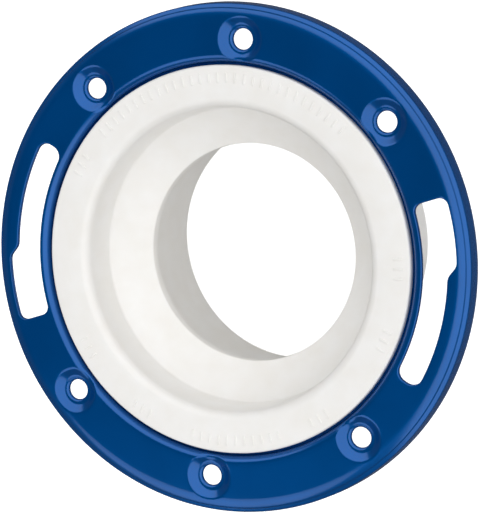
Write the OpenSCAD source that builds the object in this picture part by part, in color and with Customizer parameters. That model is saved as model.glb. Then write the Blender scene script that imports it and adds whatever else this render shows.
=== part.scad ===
// Closet flange: a moulded hub for a 3 in or 4 in drain pipe, and a pressed steel floor ring that turns
// on it.
// Z is the pipe axis, and z = 0 is the floor that the ring's skirt stands on.

/* [Steel ring] */
// Radius of the ring at the bottom edge of its skirt
ring_r = 88.9; // [88:0.1:92]
// Height of the ring's face above the floor
ring_h = 8; // [7.5:0.1:9]
// Thickness of the pressed sheet
sheet = 1.5; // [1.2:0.1:1.6]
// Outside radius of the bend between the face and the skirt
rim_bend = 2.6; // [2.2:0.1:4.8]
// Outward lean of the skirt, in degrees
skirt_lean = 4.5; // [4:0.5:10]
// Radius at which the flat face starts, outside the well that takes the hub
face_r = 71.3; // [70.8:0.1:71.5]
// Radius of the well's wall
well_r = 68.6; // [68.3:0.1:69]
// Height of the top of the lip at the foot of the well
lip_top = 3.9; // [3.8:0.1:4.2]
// Radius of the hole in the lip, which turns round the hub
lip_r = 58; // [57.6:0.1:59]
// Inside radius of the bend at the foot of the well
well_bend = 1; // [0.6:0.1:1.2]

/* [Closet bolt slots] */
// Radius of the inner edge of both slots
slot_in_r = 71.8; // [71.6:0.1:72.2]
// Radius of the outer edge of the narrow part, which holds the bolt
slot_narrow_r = 80.6; // [80:0.1:81.5]
// Radius of the outer edge of the wide part, which passes the bolt's head
slot_wide_r = 83.8; // [83:0.1:84]
// Angle of the slot's narrow end
slot_start = -25; // [-28:0.5:-20]
// Angle at which the slanted step leaves the narrow part
step_start = 3.6; // [2:0.1:5]
// Angle at which the slanted step reaches the wide part
step_end = 6.3; // [5.5:0.1:8]
// Angle of the slot's wide end
slot_end = 22.5; // [18:0.5:26]
// Corner radius at the narrow end
narrow_corner = 3.8; // [2:0.1:4.2]
// Corner radius at the wide end
wide_corner = 3; // [2:0.1:5]

/* [Screw dimples] */
// Radius of the circle that the screw holes lie on
screw_circle_r = 76.5; // [76:0.1:77]
// Radius of a screw hole
screw_r = 3.6; // [2.5:0.1:3.8]
// Radius of a dimple's rim
dimple_r = 7.8; // [6.8:0.1:8]
// Radius of a dimple's flat floor
dimple_floor_r = 4.6; // [4.4:0.1:5.2]
// Depth of a dimple's floor below the face
dimple_depth = 1.9; // [1.6:0.1:2.8]
// Depth to which the hole's edge is rolled below the dimple's floor
hole_roll = 0.5; // [0.4:0.1:0.8]

/* [Hub] */
// Radius of the hub's flange, which covers the ring's lip
hub_flange_r = 67.5; // [67:0.1:67.8]
// Height of the top of the hub's flange
hub_top = 7.3; // [7:0.1:7.5]
// Radius of the bowl's wall at its mouth
bowl_mouth_r = 53; // [52:0.1:53.5]
// Radius of the bowl's wall where the funnel starts
bowl_foot_r = 52.2; // [51:0.1:52.5]
// Radius of the rounded edge of the bowl's mouth
mouth_round = 3.2; // [0.5:0.1:3.3]
// Outside radius of the bowl
bowl_out_r = 56.8; // [56:0.1:57]
// Depth of the bowl's straight wall below the floor
bowl_depth = 8; // [6:0.5:9]
// Depth of the funnel's lower end below the floor
funnel_depth = 17; // [15:0.5:19]
// Depth of the shoulder that a 4 in pipe butts against
shoulder_depth = 15; // [13:0.5:17]
// Radius of the throat, the bore of a 3 in pipe
throat_r = 38.8; // [38:0.1:39]
// Height of the throat's lip, which stops a 3 in pipe
throat_h = 4; // [3:0.5:5]

/* [Pipe fits] */
// Radius of the socket that a 3 in pipe is cemented into
socket_r = 44.6; // [44.5:0.05:44.7]
// Radius of the barrel, which is cemented into a 4 in pipe
barrel_r = 50.9; // [50.7:0.05:51]
// Depth of the barrel's end below the floor
barrel_depth = 60; // [58:1:70]
// Size of the lead-in chamfer in the socket's mouth
socket_lead = 1.4; // [0.8:0.1:2]

/* [Snap lugs] */
// Number of lugs that hold the ring under the hub's flange
lug_count = 6; // [3:1:8]
// Angle that each lug covers, in degrees
lug_angle = 14; // [10:1:20]
// Radius that the lugs reach
lug_r = 59.6; // [59.2:0.1:60.5]
// Height of a lug
lug_h = 6; // [4:0.5:8]

/* [Raised graduations] */
// Height of the graduations above the hub's flange
mark_h = 0.35; // [0.2:0.05:0.6]
// Radius of the inner ends of the graduations
mark_in_r = 61.4; // [60:0.1:62]
// Length of a graduation
mark_len = 3.4; // [2:0.1:4]
// Width of a graduation
mark_w = 0.8; // [0.5:0.1:1.2]
// Angle between graduations, in degrees
mark_step = 3; // [2:0.5:6]

/* [Hidden] */
// Length that only has to reach past a solid
past = 1;
// Free height between the ring's lip and the lugs
lug_gap = 0.3;
// Free height between the ring's lip and the flange above it
flange_gap = 0.1;
// Chamfer on the hub's small outer edges
hub_edge = 0.6;
// Height of the short collar that each hole's edge is rolled into, below its dimple
collar_h = 0.7;
collar_wall = 1.5;

face_under = ring_h - sheet;
rim_bend_z = ring_h - rim_bend;
rim_bend_r = ring_r - rim_bend / cos(skirt_lean) - rim_bend_z * tan(skirt_lean);
well_round = face_r - well_r;
well_round_z = ring_h - well_round;
well_bend_r = well_r - well_bend;
well_bend_z = lip_top + well_bend;
screw_angles = [45, 90, 135, 225, 270, 315];
slot_turns = [0, 180];
// Straight steps in a slot's corners and edges
corner_steps = 8;
edge_steps = 18;
dimple_floor_z = ring_h - dimple_depth;
dimple_slope = (dimple_r - dimple_floor_r) / dimple_depth;
dimple_wall = sheet * sqrt(1 + dimple_slope * dimple_slope);
flange_under = lip_top + flange_gap;
lug_top = lip_top - sheet - lug_gap;
socket_top = -funnel_depth - throat_h;
mark_arcs = [[2, 8], [52, 142], [152, 158], [214, 220], [241, 247], [263, 293], [305, 311], [339, 345]];

$fn = 180;

function polar(r, a) = [r * cos(a), r * sin(a)];

// Sector of a flat ring from angle a to angle b
module sector(r_in, r_out, a, b) {
    far = 2 * r_out;
    intersection() {
        difference() {
            circle(r = r_out);
            if (r_in > 0) circle(r = r_in);
        }
        polygon([[0, 0], polar(far, a), polar(far, (a + b) / 2), polar(far, b)]);
    }
}

// Strip of sheet bent round a centre, from angle a to angle b
module bent_sheet(centre, r_out, a, b) {
    translate(centre) sector(r_out - sheet, r_out, a, b);
}

// Points of an arc of radius r round a centre, from angle a to angle b
function arc(centre, r, a, b, steps) = [for (i = [0 : steps]) centre + polar(r, a + (b - a) * i / steps)];

// Angle between a slot's end and the centre of a corner that rounds it, at radius r from the pipe axis
function corner_turn(r, corner) = asin(corner / r);

// Outline of a slot: narrow to hold the bolt, then a slanted step to the wide part
module slot_outline() {
    in_a = slot_start + corner_turn(slot_in_r + narrow_corner, narrow_corner);
    narrow_a = slot_start + corner_turn(slot_narrow_r - narrow_corner, narrow_corner);
    wide_a = slot_end - corner_turn(slot_wide_r - wide_corner, wide_corner);
    in_b = slot_end - corner_turn(slot_in_r + wide_corner, wide_corner);
    polygon(concat(
        arc(polar(slot_in_r + narrow_corner, in_a), narrow_corner,
            in_a + 180, slot_start + 270, corner_steps),
        arc(polar(slot_narrow_r - narrow_corner, narrow_a), narrow_corner,
            slot_start - 90, narrow_a, corner_steps),
        arc([0, 0], slot_narrow_r, narrow_a + 1, step_start, edge_steps),
        arc([0, 0], slot_wide_r, step_end, wide_a - 1, edge_steps),
        arc(polar(slot_wide_r - wide_corner, wide_a), wide_corner, wide_a, slot_end + 90, corner_steps),
        arc(polar(slot_in_r + wide_corner, in_b), wide_corner, slot_end + 90, in_b + 180, corner_steps),
        arc([0, 0], slot_in_r, in_b - 1, in_a + 1, 2 * edge_steps)
    ));
}

// Section of the pressed sheet: lip, well, face, rim bend and skirt, whose top runs into the bend
module ring_section() {
    translate([lip_r, lip_top - sheet]) square([well_bend_r - lip_r, sheet]);
    bent_sheet([well_bend_r, well_bend_z], well_bend + sheet, -90, 0);
    translate([well_r, well_bend_z]) square([sheet, well_round_z - well_bend_z]);
    bent_sheet([face_r, well_round_z], well_round, 90, 180);
    translate([face_r, face_under]) square([rim_bend_r - face_r, sheet]);
    bent_sheet([rim_bend_r, rim_bend_z], rim_bend, skirt_lean, 90);
    polygon([
        [rim_bend_r + (rim_bend - sheet) / cos(skirt_lean) + rim_bend_z * tan(skirt_lean), 0],
        [ring_r, 0],
        [rim_bend_r, rim_bend_z] + polar(rim_bend, skirt_lean),
        [rim_bend_r, rim_bend_z] + polar(rim_bend - sheet / 2, 3 * skirt_lean),
        [rim_bend_r, rim_bend_z] + polar(rim_bend - sheet, skirt_lean)
    ]);
}

// Space that the pressed dimples may fill, from mid-thickness of the well's wall to that of the rim
module dimple_envelope() {
    half = sheet / 2;
    rotate_extrude() {
        translate([face_r, 0]) square([rim_bend_r - face_r, ring_h]);
        translate([well_r + half, 0]) square([well_round - half, well_round_z]);
        translate([face_r, well_round_z]) sector(0, well_round - half, 90, 180);
        translate([rim_bend_r, rim_bend_z]) sector(0, rim_bend - half, 0, 90);
    }
}

// Underside of one dimple, as a solid cone with a collar round the hole
module dimple_boss() {
    low = dimple_floor_z - sheet;
    under_r = dimple_r + dimple_wall;
    translate([0, 0, low])
        cylinder(h = ring_h - low, r1 = under_r - (ring_h - low) * dimple_slope, r2 = under_r);
    translate([0, 0, low - collar_h]) cylinder(h = collar_h + past, r = screw_r + collar_wall);
}

// Space above one dimple, with the rolled edge of its hole
module dimple_cup() {
    cup_h = 2 * dimple_depth;
    translate([0, 0, dimple_floor_z])
        cylinder(h = cup_h, r1 = dimple_floor_r, r2 = dimple_floor_r + cup_h * dimple_slope);
    translate([0, 0, dimple_floor_z - hole_roll])
        cylinder(h = hole_roll + past, r1 = screw_r, r2 = screw_r + hole_roll + past);
    cylinder(h = 2 * ring_h, r = screw_r);
}

module at_screws() {
    for (a = screw_angles) rotate(a) translate([screw_circle_r, 0, 0]) children();
}

module steel_ring() {
    color("#003e7a") difference() {
        union() {
            rotate_extrude() ring_section();
            intersection() {
                at_screws() dimple_boss();
                dimple_envelope();
            }
        }
        at_screws() dimple_cup();
        for (a = slot_turns) rotate(a)
            translate([0, 0, face_under - past]) linear_extrude(sheet + 2 * past) slot_outline();
    }
}

// Half section of the hub: flange, bowl, shoulder and barrel outside, bowl, funnel, throat and socket inside
module hub_section() {
    difference() {
        polygon([
            [throat_r, socket_top],
            [socket_r, socket_top],
            [socket_r, -barrel_depth + socket_lead],
            [socket_r + socket_lead, -barrel_depth],
            [barrel_r - hub_edge, -barrel_depth],
            [barrel_r, -barrel_depth + hub_edge],
            [barrel_r, -shoulder_depth],
            [bowl_out_r - hub_edge, -shoulder_depth],
            [bowl_out_r, -shoulder_depth + hub_edge],
            [bowl_out_r, flange_under],
            [hub_flange_r - hub_edge, flange_under],
            [hub_flange_r, flange_under + hub_edge],
            [hub_flange_r, hub_top - hub_edge],
            [hub_flange_r - hub_edge, hub_top],
            [bowl_mouth_r, hub_top],
            [bowl_mouth_r, hub_top - mouth_round],
            [bowl_foot_r, -bowl_depth],
            [throat_r, -funnel_depth]
        ]);
        // waste that rounds the bowl's mouth
        difference() {
            translate([bowl_mouth_r - past, hub_top - mouth_round])
                square([past + mouth_round, mouth_round + past]);
            translate([bowl_mouth_r + mouth_round, hub_top - mouth_round]) circle(r = mouth_round, $fn = 48);
        }
    }
}

// Lugs with a flat top and a sloped foot, which the ring's lip snaps over
module snap_lugs() {
    for (i = [0 : lug_count - 1]) rotate(i * 360 / lug_count - lug_angle / 2)
        rotate_extrude(angle = lug_angle) polygon([
            [bowl_out_r - past, lug_top - lug_h],
            [bowl_out_r, lug_top - lug_h],
            [lug_r, lug_top - lug_h / 4],
            [lug_r, lug_top],
            [bowl_out_r - past, lug_top]
        ]);
}

// Plain raised bars, which show how far the ring has been turned
module graduations() {
    for (arc = mark_arcs) for (a = [arc[0] : mark_step : arc[1]]) rotate(a)
        translate([mark_in_r, -mark_w / 2, hub_top - past]) cube([mark_len, mark_w, past + mark_h]);
}

module hub() {
    color("#efeeec") {
        rotate_extrude() hub_section();
        snap_lugs();
        graduations();
    }
}

hub();
steel_ring();
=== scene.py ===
import math

import bpy
from mathutils import Matrix, Vector


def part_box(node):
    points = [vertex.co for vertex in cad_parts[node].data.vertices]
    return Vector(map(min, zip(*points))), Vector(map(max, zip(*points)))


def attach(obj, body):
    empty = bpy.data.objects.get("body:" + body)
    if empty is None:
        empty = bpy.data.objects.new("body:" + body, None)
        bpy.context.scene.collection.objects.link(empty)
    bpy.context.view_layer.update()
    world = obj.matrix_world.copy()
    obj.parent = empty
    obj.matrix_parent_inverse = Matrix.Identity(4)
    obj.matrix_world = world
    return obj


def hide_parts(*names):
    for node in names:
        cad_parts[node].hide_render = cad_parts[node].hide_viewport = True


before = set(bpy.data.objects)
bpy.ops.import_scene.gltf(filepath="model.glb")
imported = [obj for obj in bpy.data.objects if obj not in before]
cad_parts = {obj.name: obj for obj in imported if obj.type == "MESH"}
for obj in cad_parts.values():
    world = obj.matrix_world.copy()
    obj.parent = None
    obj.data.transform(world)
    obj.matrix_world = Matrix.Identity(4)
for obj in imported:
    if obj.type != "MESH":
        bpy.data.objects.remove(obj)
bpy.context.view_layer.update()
mm = 0.001
print("frame loaded:", sorted(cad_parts))


# the real sizes that the frame gives
def cornerOf(node, axis, high):
    low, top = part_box(node)
    return (top if high else low)[axis]


faceHeight = cornerOf("steel_ring", 2, True)
skirtRadius = min(abs(cornerOf("steel_ring", axis, high)) for axis in (0, 1) for high in (False, True))
hubFoot = cornerOf("hub", 2, False)

# the pressed ring, in metres from the pipe axis and the floor
ring = {
    "segments": 360,
    "sheet": 1.5 * mm,
    "shoulderStart": 83.2 * mm,
    "shoulderSlope": 23.0,
    "stepRadius": 86.6 * mm,
    "stepDrop": 0.5 * mm,
    "stepNose": (0.12 * mm, 0.06 * mm),
    "stepRound": 0.15 * mm,
    "beadStart": 87.1 * mm,
    "beadEnd": 88.45 * mm,
    "beadDrop": 0.5 * mm,
    "beadRound": 0.7 * mm,
    "faceStart": 71.3 * mm,
    "wellRadius": 68.6 * mm,
    "wellBend": 1.0 * mm,
    "lipTop": 3.9 * mm,
    "lipRadius": 58.0 * mm,
    "faceStep": 1.3 * mm,
    "edgeRound": 0.35 * mm,
    "smoothAngle": 38.0,
}

# the six pressed dimples and their screw holes: a soft rim, a conical wall, a flat floor and a rolled hole
dimple = {
    "angles": (45, 90, 135, 225, 270, 315),
    "circle": 76.5 * mm,
    "rimRadius": 8.6 * mm,
    "floorRadius": 4.6 * mm,
    "softShare": 0.3,
    "depth": 1.9 * mm,
    "holeRadius": 3.6 * mm,
    "rollWidth": 0.8 * mm,
    "rollDepth": 1.4 * mm,
    "rollCone": 0.5 * mm,
    "rollSlope": 33.0,
    "rollTurn": 72.0,
    "collarDrop": 0.4 * mm,
    "footFlare": 0.3 * mm,
    "underFlare": ((0.22 * mm, 0.4 * mm), (0.06 * mm, 0.15 * mm)),
    "fineRadius": 9.6 * mm,
    "fineDepth": 1.2 * mm,
    "fineCuts": 4,
    "underCuts": 2,
    "slack": 0.2 * mm,
}

# the two curved closet bolt slots
slot = {
    "turns": (0, 180),
    "innerRadius": 71.8 * mm,
    "narrowRadius": 80.6 * mm,
    "wideRadius": 83.8 * mm,
    "start": -25.0,
    "stepStart": 3.6,
    "stepEnd": 6.3,
    "end": 22.5,
    "narrowCorner": 3.8 * mm,
    "wideCorner": 3.0 * mm,
    "stepRun": 1.4 * mm,
    "cornerTrim": 0.75,
    "stepTrim": 1.75,
    "rolledEdge": 0.45 * mm,
}


# a point at a radius and an angle in degrees
def polar(radius, angle):
    a = math.radians(angle)
    return Vector((radius * math.cos(a), radius * math.sin(a)))


# points along an arc, both ends included
def arc(centre, radius, start, end, steps):
    middle = Vector(centre)
    return [middle + polar(radius, start + (end - start) * i / steps) for i in range(steps + 1)]


# points along a straight line, without its ends
def between(a, b, step):
    a, b = Vector(a), Vector(b)
    count = max(1, round((b - a).length / step))
    return [a.lerp(b, i / count) for i in range(1, count)]


# points of one rounded corner of an outline, given as (x, y, rounding) with its two neighbours
def softCorner(before, corner, after):
    x, y, radius = corner
    middle = Vector((x, y))
    back = (Vector(before[:2]) - middle).normalized()
    ahead = (Vector(after[:2]) - middle).normalized()
    half = back.angle(ahead) / 2
    reach = radius / math.tan(half)
    centre = middle + (back + ahead).normalized() * radius / math.sin(half)
    a = middle + back * reach - centre
    b = middle + ahead * reach - centre
    sweep = a.angle_signed(b)
    steps = max(4, round(radius / (0.3 * mm)))
    return [centre + Matrix.Rotation(-sweep * s / steps, 2) @ a for s in range(steps + 1)]


def clearSelection():
    if bpy.context.object and bpy.context.object.mode != "OBJECT":
        bpy.ops.object.mode_set(mode="OBJECT")
    bpy.ops.object.select_all(action="DESELECT")


def makeActive(piece):
    clearSelection()
    bpy.context.view_layer.objects.active = piece
    piece.select_set(True)
    return piece


# selects vertices by place, in object mode, then returns to edit mode
def selectWhere(piece, test):
    bpy.ops.object.mode_set(mode="EDIT")
    bpy.ops.mesh.select_mode(type="VERT")
    bpy.ops.mesh.select_all(action="DESELECT")
    bpy.ops.object.mode_set(mode="OBJECT")
    for v in piece.data.vertices:
        v.select = test(v.co)
    bpy.ops.object.mode_set(mode="EDIT")


# turns a section of (radius, height) points round the pipe axis: a circle, extruded and resized at each point
def lathe(name, section, segments, closed=True):
    clearSelection()
    first = section[0]
    bpy.ops.mesh.primitive_circle_add(vertices=segments, radius=first.x, location=(0, 0, 0))
    piece = bpy.context.object
    piece.name = name
    piece.data.name = name
    bpy.ops.object.mode_set(mode="EDIT")
    bpy.ops.mesh.select_all(action="SELECT")
    bpy.ops.transform.translate(value=(0, 0, first.y))
    last = first
    for point in section[1:]:
        grow = point.x / last.x
        bpy.ops.mesh.extrude_edges_move(TRANSFORM_OT_translate={"value": (0, 0, point.y - last.y)})
        bpy.ops.transform.resize(value=(grow, grow, 1), center_override=(0, 0, 0))
        last = point
    if closed:
        bpy.ops.mesh.select_mode(type="EDGE")
        bpy.ops.mesh.select_all(action="DESELECT")
        bpy.ops.mesh.select_non_manifold(
            extend=False, use_wire=False, use_boundary=True, use_multi_face=False,
            use_non_contiguous=False, use_verts=False,
        )
        bpy.ops.mesh.bridge_edge_loops()
    bpy.ops.mesh.select_all(action="SELECT")
    bpy.ops.mesh.normals_make_consistent(inside=False)
    bpy.ops.object.mode_set(mode="OBJECT")
    return piece


# cuts with, or joins on, a second piece and removes it
def combine(piece, tool, operation):
    makeActive(piece)
    boolean = piece.modifiers.new("combine", "BOOLEAN")
    boolean.operation = operation
    boolean.object = tool
    boolean.solver = "EXACT"
    bpy.ops.object.modifier_apply(modifier="combine")
    bpy.data.objects.remove(tool)


# makes one object of several
def joined(pieces):
    makeActive(pieces[0])
    for piece in pieces:
        piece.select_set(True)
    bpy.ops.object.join()
    return bpy.context.object


# rounds the corners of a run of (radius, height, rounding) points that stays open
def softRun(corners):
    points = [Vector(corners[0][:2])]
    for before, corner, after in zip(corners, corners[1:], corners[2:]):
        points += softCorner(before, corner, after)
    return points + [Vector(corners[-1][:2])]


# the rim from the face's edge to the floor: shoulder, step, bead, skirt; an inset gives the sheet's underside
def rimRun(inset):
    slope = math.radians(ring["shoulderSlope"])
    width = ring["stepRadius"] - ring["shoulderStart"]
    bulge = width / math.sin(slope)
    start = Vector((ring["shoulderStart"], faceHeight - bulge))
    stepTop = faceHeight - bulge * (1 - math.cos(slope))
    stepFoot = stepTop - ring["stepDrop"]
    if inset:
        start = Vector((ring["shoulderStart"], faceHeight - inset))
        middle = Vector((ring["stepRadius"] - inset, stepTop - inset))
        corner = (ring["beadEnd"] - inset, stepFoot - inset, inset)
        foot = (skirtRadius - inset, 0)
        return [start, middle, *softRun([(ring["stepRadius"], stepTop - inset), corner, foot])]
    points = arc(start, bulge, 90, 90 - ring["shoulderSlope"], 12)
    return points + softRun([
        (*points[-1], 0),
        (ring["stepRadius"] + ring["stepNose"][0], stepTop - ring["stepNose"][1], ring["stepRound"]),
        (ring["beadStart"], stepFoot, ring["stepRound"]),
        (ring["beadEnd"], stepFoot - ring["beadDrop"], ring["beadRound"]),
        (skirtRadius, 0, 0),
    ])[1:]


# the section of the sheet, once round: top side from the lip's edge to the skirt's foot, then back underneath
def ringSection():
    sheet = ring["sheet"]
    bend = ring["faceStart"] - ring["wellRadius"]
    bendHeight = faceHeight - bend
    footX = ring["wellRadius"] - ring["wellBend"]
    footZ = ring["lipTop"] + ring["wellBend"]
    edge = ring["edgeRound"]
    step = ring["faceStep"]
    lipX = ring["lipRadius"]
    top = ring["lipTop"]
    outside = rimRun(0)[:-1]
    inside = rimRun(sheet)[:-1]
    points = arc((lipX + edge, top - edge), edge, 180, 90, 3)
    points += between((lipX + edge, top), (footX, top), 3 * step)
    points += arc((footX, footZ), ring["wellBend"], -90, 0, 5)
    points += arc((ring["faceStart"], bendHeight), bend, 180, 90, 14)
    points += between((ring["faceStart"], faceHeight), outside[0], step)
    points += outside
    points += between(outside[-1], (skirtRadius, edge), 1.5 * step)
    points += arc((skirtRadius - edge, edge), edge, 0, -90, 3)
    points += arc((skirtRadius - sheet + edge, edge), edge, 270, 180, 2)
    points += inside[::-1]
    points += between(inside[0], (ring["faceStart"], faceHeight - sheet), step)
    points += arc((ring["faceStart"], bendHeight), bend - sheet, 90, 180, 5)
    points += arc((footX, footZ), ring["wellBend"] + sheet, 0, -90, 6)
    points += between((footX, top - sheet), (lipX + edge, top - sheet), 3 * step)
    points += arc((lipX + edge, top - sheet + edge), edge, 270, 180, 2)
    return points


# how far a dimple's surface is pressed down at a distance from its centre: soft rim, even slope, soft foot
def dimpleDrop(distance):
    share = (dimple["rimRadius"] - distance) / (dimple["rimRadius"] - dimple["floorRadius"])
    share = min(1.0, max(0.0, share))
    soft = dimple["softShare"]
    slope = 1 / (1 - soft)
    if share < soft:
        return dimple["depth"] * slope * share ** 2 / (2 * soft)
    if share > 1 - soft:
        return dimple["depth"] * (1 - slope * (1 - share) ** 2 / (2 * soft))
    return dimple["depth"] * slope * (share - soft / 2)


# the underside drops a little more, into a collar round the hole
def collarDrop(distance):
    share = (dimple["holeRadius"] + 2 * dimple["rollWidth"] - distance) / dimple["rollWidth"]
    share = min(1.0, max(0.0, share))
    return dimple["collarDrop"] * share ** 2 * (3 - 2 * share)


# finer faces round each dimple, then every vertex there is pressed down by its own amount
def pressDimples(piece):
    bottom = faceHeight - ring["sheet"]
    deepest = bottom - dimple["fineDepth"]
    centres = [polar(dimple["circle"], a) for a in dimple["angles"]]

    def near(co):
        return min((co.xy - c).length for c in centres)

    def under(co):
        return co.z < bottom + dimple["slack"] and co.xy.length > ring["faceStart"] - dimple["slack"] / 2

    for isUnder, cuts in ((False, dimple["fineCuts"]), (True, dimple["underCuts"])):
        selectWhere(
            piece,
            lambda co: co.z > deepest and near(co) < dimple["fineRadius"] and under(co) == isUnder,
        )
        bpy.ops.mesh.select_mode(type="FACE")
        bpy.ops.mesh.subdivide(number_cuts=cuts)
        bpy.ops.object.mode_set(mode="OBJECT")
    for v in piece.data.vertices:
        distance = near(v.co)
        if v.co.z > 2 * ring["sheet"] and distance < dimple["rimRadius"]:
            below = v.co.z < bottom + dimple["slack"]
            v.co.z -= dimpleDrop(distance) + (collarDrop(distance) if below else 0.0)


# a drill for one screw hole, whose widening top leaves the rolled edge: a short cone, then a tight round
def holeDrill(angle):
    floorHeight = faceHeight - dimple["depth"]
    radius = dimple["holeRadius"]
    slope = math.tan(math.radians(dimple["rollSlope"]))
    coneDrop = dimple["rollCone"] * slope
    roundWidth = dimple["rollWidth"] - dimple["rollCone"]
    roundDepth = dimple["rollDepth"] - coneDrop
    narrow = floorHeight - dimple["rollDepth"]
    section = [Vector((radius + dimple["footFlare"], 0))]
    section += [Vector((radius + out, narrow - down)) for out, down in dimple["underFlare"]]
    for i in range(7):
        turn = math.radians(dimple["rollTurn"] * i / 6)
        out = roundWidth * (1 - math.cos(turn))
        section.append(Vector((radius + out, narrow + roundDepth * math.sin(turn))))
    past = dimple["slack"] / 2
    section.append(Vector((radius + dimple["rollWidth"] + past, floorHeight + past * slope)))
    section.append(section[-1] + Vector((past, 3 * ring["sheet"])))
    drill = lathe("drill", section, 72, closed=False)
    bpy.ops.object.mode_set(mode="EDIT")
    bpy.ops.mesh.select_all(action="SELECT")
    bpy.ops.mesh.fill_holes(sides=0)
    bpy.ops.mesh.normals_make_consistent(inside=False)
    bpy.ops.transform.translate(value=(*polar(dimple["circle"], angle), 0))
    bpy.ops.object.mode_set(mode="OBJECT")
    return drill


# the slot's outline, grown by an outset, as points once round
def slotOutline(outset):
    inner, narrow, wide = slot["innerRadius"], slot["narrowRadius"], slot["wideRadius"]
    small, large = slot["narrowCorner"], slot["wideCorner"]
    trim = slot["cornerTrim"]

    def turn(radius, corner):
        return math.degrees(math.asin(corner / radius))

    inStart = slot["start"] + turn(inner + small, small)
    outStart = slot["start"] + turn(narrow - small, small)
    outEnd = slot["end"] - turn(wide - large, large)
    inEnd = slot["end"] - turn(inner + large, large)
    lowStep = polar(narrow + outset, slot["stepStart"])
    highStep = polar(wide + outset, slot["stepEnd"])
    step = (highStep - lowStep).normalized() * slot["stepRun"]
    before = polar(narrow + outset, slot["stepStart"] - 1.0)
    after = polar(wide + outset, slot["stepEnd"] + 1.0)

    def soften(a, corner, b):
        return [a.lerp(corner, t).lerp(corner.lerp(b, t), t) for t in (0, 0.25, 0.5, 0.75, 1)]

    points = arc(polar(inner + small, inStart), small + outset, inStart + 180, slot["start"] + 270, 10)
    points += arc(polar(narrow - small, outStart), small + outset, slot["start"] - 90, outStart, 10)
    points += arc((0, 0), narrow + outset, outStart + trim, slot["stepStart"] - slot["stepTrim"], 32)
    points += soften(before, lowStep, lowStep + step)
    points += soften(highStep - step, highStep, after)
    points += arc((0, 0), wide + outset, slot["stepEnd"] + slot["stepTrim"], outEnd - trim, 16)
    points += arc(polar(wide - large, outEnd), large + outset, outEnd, slot["end"] + 90, 10)
    points += arc(polar(inner + large, inEnd), large + outset, slot["end"] + 90, inEnd + 180, 10)
    points += arc((0, 0), inner - outset, inEnd - trim, inStart + trim, 56)
    return points


# a punch for one slot, flared at the top so that the enamelled edge looks rolled; it is drawn point by point,
# because no primitive has its outline
def slotPunch(turnAngle):
    e = slot["rolledEdge"]
    top = faceHeight
    levels = [
        (0, top - 2 * ring["sheet"]),
        (0, top - e),
        (0.13 * e, top - 0.5 * e),
        (0.5 * e, top - 0.13 * e),
        (3 * e, top + e),
    ]
    rows = [[(p.x, p.y, z) for p in slotOutline(outset)] for outset, z in levels]
    count = len(rows[0])
    verts = [v for row in rows for v in row]
    faces = [list(range(count))[::-1], [(len(rows) - 1) * count + i for i in range(count)]]
    for level in range(len(rows) - 1):
        for i in range(count):
            j = (i + 1) % count
            below, above = level * count, (level + 1) * count
            faces.append([below + i, below + j, above + j, above + i])
    mesh = bpy.data.meshes.new("punch")
    mesh.from_pydata(verts, [], faces)
    punch = bpy.data.objects.new("punch", mesh)
    bpy.context.scene.collection.objects.link(punch)
    mesh.transform(Matrix.Rotation(math.radians(turnAngle), 4, "Z"))
    makeActive(punch)
    bpy.ops.object.mode_set(mode="EDIT")
    bpy.ops.mesh.select_all(action="SELECT")
    bpy.ops.mesh.normals_make_consistent(inside=False)
    bpy.ops.object.mode_set(mode="OBJECT")
    return punch


def finishShading(piece, angle):
    makeActive(piece)
    bpy.ops.object.shade_smooth_by_angle(angle=math.radians(angle))


# merges points that the cuts left on top of each other
def cleanCuts(piece):
    makeActive(piece)
    bpy.ops.object.mode_set(mode="EDIT")
    bpy.ops.mesh.select_all(action="SELECT")
    bpy.ops.mesh.remove_doubles(threshold=0.004 * mm)
    bpy.ops.mesh.dissolve_degenerate(threshold=0.001 * mm)
    bpy.ops.object.mode_set(mode="OBJECT")


def makeRing():
    piece = lathe("floor_ring", ringSection(), ring["segments"])
    pressDimples(piece)
    combine(piece, joined([holeDrill(angle) for angle in dimple["angles"]]), "DIFFERENCE")
    combine(piece, joined([slotPunch(angle) for angle in slot["turns"]]), "DIFFERENCE")
    cleanCuts(piece)
    finishShading(piece, ring["smoothAngle"])
    print("floor ring made:", len(piece.data.polygons), "faces")
    return piece


floorRing = makeRing()

# the hub's moulding: corners of its section as radius, height and rounding, once round
hub = {
    "segments": 240,
    "throat": 38.8 * mm,
    "throatFoot": -21.0 * mm,
    "socket": 44.6 * mm,
    "barrel": 50.9 * mm,
    "shoulder": -15.0 * mm,
    "bowlOutside": 56.8 * mm,
    "flangeUnder": 4.0 * mm,
    "flangeRadius": 67.5 * mm,
    "flangeTop": 7.3 * mm,
    "mouth": 53.2 * mm,
    "bowlFoot": 52.2 * mm,
    "bowlDepth": -8.0 * mm,
    "funnelFoot": -17.0 * mm,
    "mouthRound": 3.4 * mm,
    "bowlRound": 1.6 * mm,
    "lead": 1.4 * mm,
    "footEdge": 0.6 * mm,
    "smoothAngle": 32.0,
}

lug = {
    "count": 6,
    "angle": 14.0,
    "reach": 59.6 * mm,
    "top": 2.1 * mm,
    "height": 6.0 * mm,
    "edge": 0.35 * mm,
    "root": 1.0 * mm,
    "sunk": 0.2 * mm,
    "taper": 0.75,
}

# plain raised bars on the flange, in arcs given by their first and last angle
marks = {
    "arcs": ((2, 8), (52, 142), (152, 158), (214, 220), (241, 247), (263, 293), (305, 311), (339, 345)),
    "step": 3.0,
    "start": 61.4 * mm,
    "length": 3.4 * mm,
    "width": 0.8 * mm,
    "height": 0.25 * mm,
    "sunk": 0.4 * mm,
    "edge": 0.18 * mm,
}


# rounds each corner of a closed outline by its own radius
def softOutline(corners):
    points = []
    for i, corner in enumerate(corners):
        points += softCorner(corners[i - 1], corner, corners[(i + 1) % len(corners)])
    return points


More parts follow.
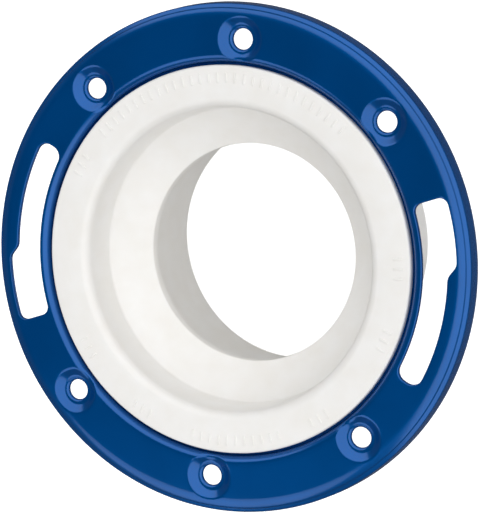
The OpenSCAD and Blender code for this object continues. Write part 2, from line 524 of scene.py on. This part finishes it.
def hubSection():
    foot = hubFoot
    lead = hub["lead"]
    edge = hub["footEdge"]
    return softOutline([
        (hub["throat"], hub["throatFoot"], 0.4 * mm),
        (hub["socket"], hub["throatFoot"], 0.6 * mm),
        (hub["socket"], foot + lead, 0.4 * mm),
        (hub["socket"] + lead, foot, 0.4 * mm),
        (hub["barrel"] - edge, foot, 0.3 * mm),
        (hub["barrel"], foot + edge, 0.3 * mm),
        (hub["barrel"], hub["shoulder"], 0.8 * mm),
        (hub["bowlOutside"], hub["shoulder"], 0.6 * mm),
        (hub["bowlOutside"], hub["flangeUnder"], 0.8 * mm),
        (hub["flangeRadius"], hub["flangeUnder"], 0.5 * mm),
        (hub["flangeRadius"], hub["flangeTop"], 0.8 * mm),
        (hub["mouth"], hub["flangeTop"], hub["mouthRound"]),
        (hub["bowlFoot"], hub["bowlDepth"], hub["bowlRound"]),
        (hub["throat"], hub["funnelFoot"], 0.8 * mm),
    ])


# one bevelled cube, shaped in place, for every small raised part of the moulding
def block(name, low, high, bevel):
    clearSelection()
    low, high = Vector(low), Vector(high)
    bpy.ops.mesh.primitive_cube_add(size=1, location=(0, 0, 0))
    piece = bpy.context.object
    piece.name = name
    bpy.ops.object.mode_set(mode="EDIT")
    bpy.ops.mesh.select_all(action="SELECT")
    bpy.ops.transform.resize(value=high - low, center_override=(0, 0, 0))
    bpy.ops.transform.translate(value=(low + high) / 2)
    bpy.ops.mesh.bevel(offset=bevel, segments=2, affect="EDGES")
    bpy.ops.object.mode_set(mode="OBJECT")
    return piece


# copies a piece round the pipe axis and joins the copies into one object
def copiesRound(piece, angles):
    copies = []
    for angle in angles:
        copy = bpy.data.objects.new(piece.name, piece.data.copy())
        bpy.context.scene.collection.objects.link(copy)
        copy.data.transform(Matrix.Rotation(math.radians(angle), 4, "Z"))
        copies.append(copy)
    bpy.data.objects.remove(piece)
    return joined(copies)


# a lug: a bevelled block with a flat top that the ring's lip snaps over, tapered into the wall below
def makeLugs():
    inside = hub["bowlOutside"] - lug["root"]
    top, foot = lug["top"], lug["top"] - lug["height"]
    half = lug["angle"] / 2
    wide = 2 * lug["reach"] * math.tan(math.radians(half))
    piece = block("lug", (inside, -wide / 2, foot), (lug["reach"], wide / 2, top), lug["edge"])
    for v in piece.data.vertices:
        taper = lug["taper"] * lug["height"]
        drop = max(0.0, (foot + taper - v.co.z) / taper)
        out = max(0.0, v.co.x - hub["bowlOutside"] + lug["sunk"])
        v.co.x -= out * min(1.0, drop)
    return copiesRound(piece, [i * 360 / lug["count"] for i in range(lug["count"])])


def makeMarks():
    top = hub["flangeTop"]
    start, end = marks["start"], marks["start"] + marks["length"]
    half = marks["width"] / 2
    low = (start, -half, top - marks["sunk"])
    high = (end, half, top + marks["height"])
    piece = block("mark", low, high, marks["edge"])
    angles = []
    for first, last in marks["arcs"]:
        count = round((last - first) / marks["step"])
        angles += [first + marks["step"] * i for i in range(count + 1)]
    return copiesRound(piece, angles)


def makeHub():
    piece = lathe("drain_hub", hubSection(), hub["segments"])
    combine(piece, makeLugs(), "UNION")
    combine(piece, makeMarks(), "UNION")
    finishShading(piece, hub["smoothAngle"])
    print("hub made:", len(piece.data.polygons), "faces")
    return piece


drainHub = makeHub()


# sRGB hex to linear colour
def colour(hexValue, alpha=1.0):
    parts = [int(hexValue[i:i + 2], 16) / 255 for i in (1, 3, 5)]
    return [p / 12.92 if p <= 0.04045 else ((p + 0.055) / 1.055) ** 2.4 for p in parts] + [alpha]


# adds one node, sets its inputs and links the named ones
def addNode(tree, kind, inputs=None, links=None, **settings):
    node = tree.nodes.new(kind)
    for key, value in settings.items():
        setattr(node, key, value)
    for key, value in (inputs or {}).items():
        node.inputs[key].default_value = value
    for key, source in (links or {}).items():
        tree.links.new(source, node.inputs[key])
    return node


def newMaterial(name):
    material = bpy.data.materials.new(name)
    material.use_nodes = True
    tree = material.node_tree
    tree.nodes.clear()
    out = addNode(tree, "ShaderNodeOutputMaterial")
    shader = addNode(tree, "ShaderNodeBsdfPrincipled")
    tree.links.new(shader.outputs["BSDF"], out.inputs["Surface"])
    return material, tree, shader


# baked enamel on pressed steel: blue glaze with the metal glinting through it, so the highlights are blue too
enamel = {
    "deep": "#00539C",
    "thin": "#0058A5",
    "metallic": 0.6,
    "roughness": 0.27,
    "specular": 0.0,
    "coat": 0.74,
    "coatRoughness": 0.1,
    "peelSize": 1.6 * mm,
    "peelBump": 0.12,
    "peelHeight": 0.05 * mm,
    "cloudSize": 26.0 * mm,
    "ior": 1.5,
}


def enamelMaterial():
    material, tree, shader = newMaterial("blueBakedEnamel")
    place = addNode(tree, "ShaderNodeTexCoord").outputs["Object"]
    cloudScale = 1 / enamel["cloudSize"]
    clouds = addNode(tree, "ShaderNodeTexNoise", {"Scale": cloudScale, "Detail": 3.0}, {"Vector": place})
    ramp = addNode(tree, "ShaderNodeValToRGB", None, {"Fac": clouds.outputs["Fac"]})
    ramp.color_ramp.elements[0].position = 0.35
    ramp.color_ramp.elements[0].color = colour(enamel["deep"])
    ramp.color_ramp.elements[1].position = 0.65
    ramp.color_ramp.elements[1].color = colour(enamel["thin"])
    tree.links.new(ramp.outputs["Color"], shader.inputs["Base Color"])
    peelScale = 1 / enamel["peelSize"]
    peel = addNode(tree, "ShaderNodeTexNoise", {"Scale": peelScale, "Detail": 1.0}, {"Vector": place})
    bump = addNode(
        tree, "ShaderNodeBump", {"Strength": enamel["peelBump"], "Distance": enamel["peelHeight"]},
        {"Height": peel.outputs["Fac"]},
    )
    tree.links.new(bump.outputs["Normal"], shader.inputs["Normal"])
    tree.links.new(bump.outputs["Normal"], shader.inputs["Coat Normal"])
    shader.inputs["Metallic"].default_value = enamel["metallic"]
    shader.inputs["Roughness"].default_value = enamel["roughness"]
    shader.inputs["Specular IOR Level"].default_value = enamel["specular"]
    shader.inputs["Coat Weight"].default_value = enamel["coat"]
    shader.inputs["Coat Roughness"].default_value = enamel["coatRoughness"]
    shader.inputs["IOR"].default_value = enamel["ior"]
    return material


# injection-moulded rigid PVC: satin off-white, faintly mottled, with the tool's fine spark-eroded grain,
# drawn several times coarser than the real 0.1 mm so that it shows
pvc = {
    "light": "#F7F6F4",
    "dark": "#F3F1ED",
    "roughness": 0.4,
    "ior": 1.53,
    "grainSize": 0.6 * mm,
    "grainBump": 0.1,
    "grainHeight": 0.04 * mm,
    "mottleSize": 9.0 * mm,
    "subsurface": 0.06,
    "subsurfaceRadius": (2.0 * mm, 1.8 * mm, 1.6 * mm),
}


def pvcMaterial():
    material, tree, shader = newMaterial("whiteMouldedPvc")
    place = addNode(tree, "ShaderNodeTexCoord").outputs["Object"]
    mottleScale = 1 / pvc["mottleSize"]
    mottle = addNode(tree, "ShaderNodeTexNoise", {"Scale": mottleScale, "Detail": 4.0}, {"Vector": place})
    ramp = addNode(tree, "ShaderNodeValToRGB", None, {"Fac": mottle.outputs["Fac"]})
    ramp.color_ramp.elements[0].position = 0.3
    ramp.color_ramp.elements[0].color = colour(pvc["dark"])
    ramp.color_ramp.elements[1].position = 0.7
    ramp.color_ramp.elements[1].color = colour(pvc["light"])
    tree.links.new(ramp.outputs["Color"], shader.inputs["Base Color"])
    grainScale = 1 / pvc["grainSize"]
    grain = addNode(tree, "ShaderNodeTexNoise", {"Scale": grainScale, "Detail": 2.0}, {"Vector": place})
    bump = addNode(
        tree, "ShaderNodeBump", {"Strength": pvc["grainBump"], "Distance": pvc["grainHeight"]},
        {"Height": grain.outputs["Fac"]},
    )
    tree.links.new(bump.outputs["Normal"], shader.inputs["Normal"])
    shader.inputs["Roughness"].default_value = pvc["roughness"]
    shader.inputs["IOR"].default_value = pvc["ior"]
    shader.inputs["Subsurface Weight"].default_value = pvc["subsurface"]
    shader.inputs["Subsurface Radius"].default_value = pvc["subsurfaceRadius"]
    shader.inputs["Subsurface Scale"].default_value = 1.0
    return material


floorRing.data.materials.clear()
floorRing.data.materials.append(enamelMaterial())
drainHub.data.materials.clear()
drainHub.data.materials.append(pvcMaterial())
for piece, body, node, slotName in (
    (floorRing, "ring", "steel_ring", "blue_enamel"),
    (drainHub, "hub", "hub", "white_pvc"),
):
    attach(piece, body)
    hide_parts(node)
print("materials made")


# where the camera stands: turned off the pipe axis in three steps, then backed away from the ring's face
view = {
    "tiltUp": 0.136,
    "turnSide": -0.408,
    "roll": -0.077,
    "aside": -5.477 * mm,
    "below": -1.657 * mm,
    "distance": 817.063 * mm,
    "lens": 166.54,
    "sensor": 36.0,
}

studio = {
    "tableSize": 6.0,
    "tableSeen": 0.6,
    "tableGlow": 0.05,
    "wall": 1.25,
    "wallSide": (0.75, 0.66, 0.0),
    "wallEdge": (-0.32, -0.2),
    "wallFoot": (0.12, 0.42),
    "cardMiddle": (-0.46, -0.06, 0.886),
    "cardEdge": (0.9, 0.86),
    "room": 0.1,
    "low": {"energy": 1.8, "size": 0.8, "at": (-0.4, -0.76, 0.82), "mirrored": True},
    "fill": {"energy": 4.3, "size": 1.6, "at": (-0.7, -0.35, 1.3), "mirrored": False},
}


def placeCamera():
    turn = (
        Matrix.Rotation(view["tiltUp"], 3, "X")
        @ Matrix.Rotation(view["turnSide"], 3, "Y")
        @ Matrix.Rotation(view["roll"], 3, "Z")
    )
    back = turn.transposed()
    offset = Vector((-view["aside"], -view["below"], view["distance"]))
    camData = bpy.data.cameras.new("camera")
    camData.lens = view["lens"]
    camData.sensor_width = view["sensor"]
    camData.clip_end = 20
    cam = bpy.data.objects.new("camera", camData)
    bpy.context.scene.collection.objects.link(cam)
    cam.matrix_world = Matrix.Translation(back @ offset + Vector((0, 0, faceHeight))) @ back.to_4x4()
    bpy.context.scene.camera = cam


def placeLight(name, settings):
    light = bpy.data.lights.new(name, "AREA")
    light.shape = "DISK"
    light.size = settings["size"]
    light.energy = settings["energy"]
    lamp = bpy.data.objects.new(name, light)
    bpy.context.scene.collection.objects.link(lamp)
    lamp.location = settings["at"]
    lamp.rotation_euler = (-Vector(settings["at"])).to_track_quat("-Z", "Y").to_euler()
    lamp.visible_glossy = settings["mirrored"]


# a pale sheet of opal plastic that glows a little, as on a product table; the object doesn't mirror it
def makeTable():
    clearSelection()
    bpy.ops.mesh.primitive_plane_add(size=studio["tableSize"], location=(0, 0, hubFoot))
    table = bpy.context.object
    table.name = "table"
    material, tree, shader = newMaterial("opalTable")
    shader.inputs["Base Color"].default_value = colour("#F7F7F7")
    shader.inputs["Roughness"].default_value = 0.6
    shader.inputs["Emission Color"].default_value = colour("#FFFFFF")
    seen = addNode(tree, "ShaderNodeLightPath").outputs["Is Camera Ray"]
    glow = addNode(
        tree, "ShaderNodeMapRange", {"To Min": studio["tableGlow"], "To Max": studio["tableSeen"]},
        {"Value": seen},
    )
    tree.links.new(glow.outputs["Result"], shader.inputs["Emission Strength"])
    table.data.materials.append(material)
    table.visible_glossy = False


# a dim room with one curved wall of white cloth, lit round the right and the back from a little above the
# table up, and a black card that the flat face mirrors
def makeWorld():
    world = bpy.data.worlds.new("studio")
    bpy.context.scene.world = world
    world.use_nodes = True
    tree = world.node_tree
    place = addNode(tree, "ShaderNodeTexCoord").outputs["Generated"]

    def share(direction, edges):
        along = addNode(tree, "ShaderNodeVectorMath", {1: direction}, {0: place}, operation="DOT_PRODUCT")
        step = addNode(
            tree, "ShaderNodeMapRange", {"From Min": edges[0], "From Max": edges[1]},
            {"Value": along.outputs["Value"]}, interpolation_type="SMOOTHSTEP",
        )
        return step.outputs["Result"]

    side = share(studio["wallSide"], studio["wallEdge"])
    high = share((0, 0, 1), studio["wallFoot"])
    clear = share(studio["cardMiddle"], studio["cardEdge"])
    lit = addNode(tree, "ShaderNodeMath", None, {0: side, 1: high}, operation="MULTIPLY")
    wall = addNode(
        tree, "ShaderNodeMath", {1: studio["wall"], 2: studio["room"]}, {0: lit.outputs["Value"]},
        operation="MULTIPLY_ADD",
    )
    total = addNode(tree, "ShaderNodeMath", None, {0: wall.outputs["Value"], 1: clear}, operation="MULTIPLY")
    tree.links.new(total.outputs["Value"], tree.nodes["Background"].inputs["Strength"])
    tree.nodes["Background"].inputs["Color"].default_value = colour("#FFFFFF")


placeCamera()
placeLight("lowLight", studio["low"])
placeLight("fillLight", studio["fill"])
makeTable()
makeWorld()
bpy.context.scene.view_settings.view_transform = "Standard"
print("studio made")
